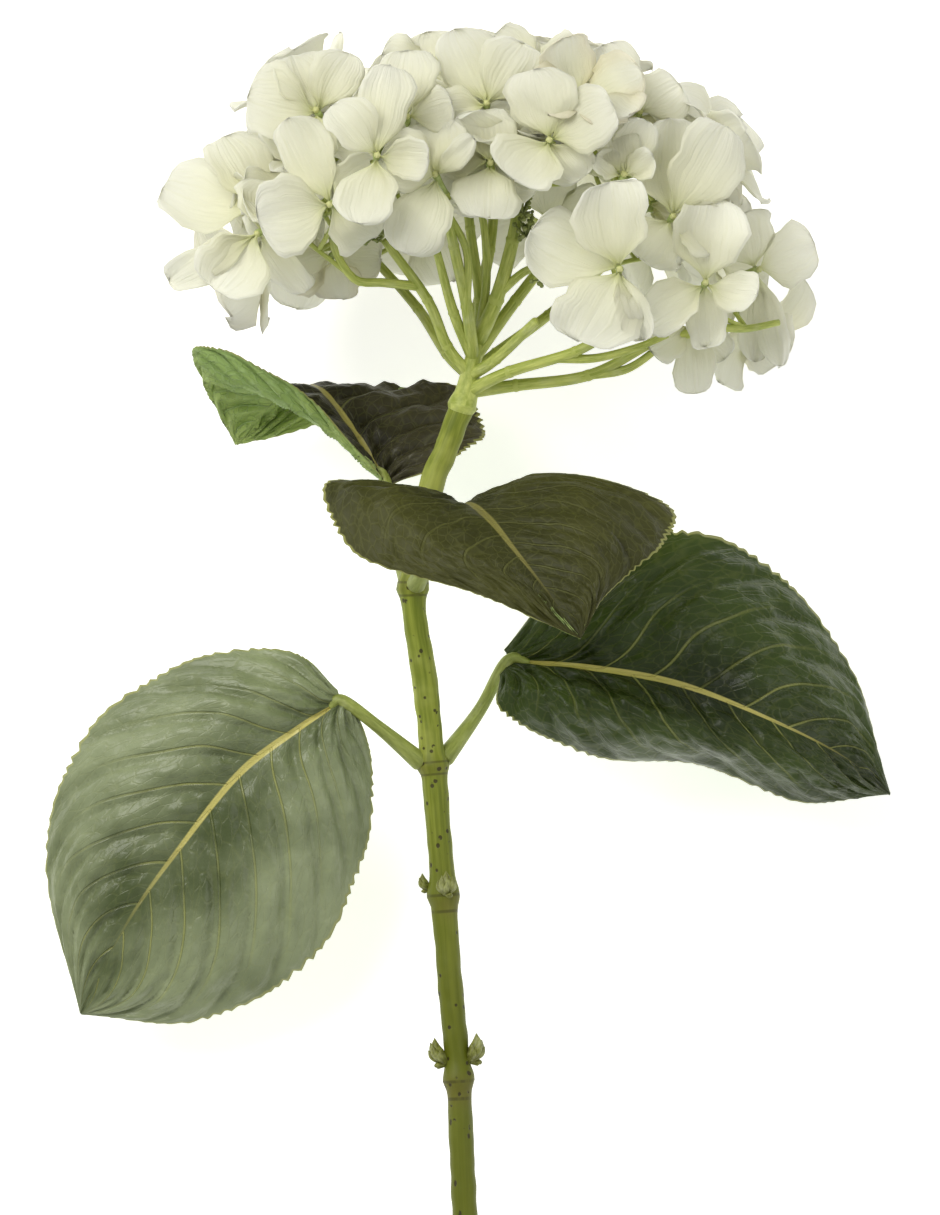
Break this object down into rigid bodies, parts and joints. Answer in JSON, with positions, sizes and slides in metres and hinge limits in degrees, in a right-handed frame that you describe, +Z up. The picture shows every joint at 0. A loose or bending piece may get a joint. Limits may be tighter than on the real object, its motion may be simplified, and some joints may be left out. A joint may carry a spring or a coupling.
{
  "type": "cut hydrangea",
  "caption": "Cut mophead hydrangea: a leafy stem with side buds and a domed creamy flower head of four-petalled florets, lying on its back.",
  "frame": {"origin": "middle of the bounding box, on the surface that the flower lies on", "axes": "+Y along the stem towards the flower head, +X to the right seen from above, +Z up"},
  "size_m": [0.2584, 0.4352, 0.1609],
  "materials": {
    "stem": "semi-matt yellow-green skin with small dark pores",
    "stalks": "smooth semi-matt pale green",
    "bud": "matt green bud scales with brown edges",
    "leaf": "quilted dark green with a soft waxy sheen and paler veins",
    "sepal": "thin matt ivory petal tissue, greener at the centre"
  },
  "bodies": {
    "root": {"bud_front": "bud", "bud_left_lower": "bud", "bud_left_upper": "bud", "bud_right_lower": "bud", "cyme": "stalks", "floret_01": "sepal", "floret_02": "sepal", "floret_03": "sepal", "floret_04": "sepal", "floret_05": "sepal", "floret_06": "sepal", "floret_07": "sepal", "floret_08": "sepal", "floret_09": "sepal", "floret_10": "sepal", "floret_11": "sepal", "floret_12": "sepal", "floret_13": "sepal", "floret_14": "sepal", "floret_15": "sepal", "floret_16": "sepal", "floret_17": "sepal", "floret_18": "sepal", "floret_19": "sepal", "floret_20": "sepal", "floret_21": "sepal", "floret_22": "sepal", "floret_23": "sepal", "floret_24": "sepal", "floret_25": "sepal", "floret_26": "sepal", "floret_27": "sepal", "floret_28": "sepal", "floret_29": "sepal", "floret_30": "sepal", "floret_31": "sepal", "floret_32": "sepal", "floret_33": "sepal", "floret_34": "sepal", "floret_35": "sepal", "floret_36": "sepal", "floret_37": "sepal", "floret_38": "sepal", "floret_39": "sepal", "floret_40": "sepal", "leaf_back": "leaf", "leaf_front": "leaf", "leaf_left": "leaf", "leaf_right": "leaf", "stem": "stem"}
  },
  "joints": []
}
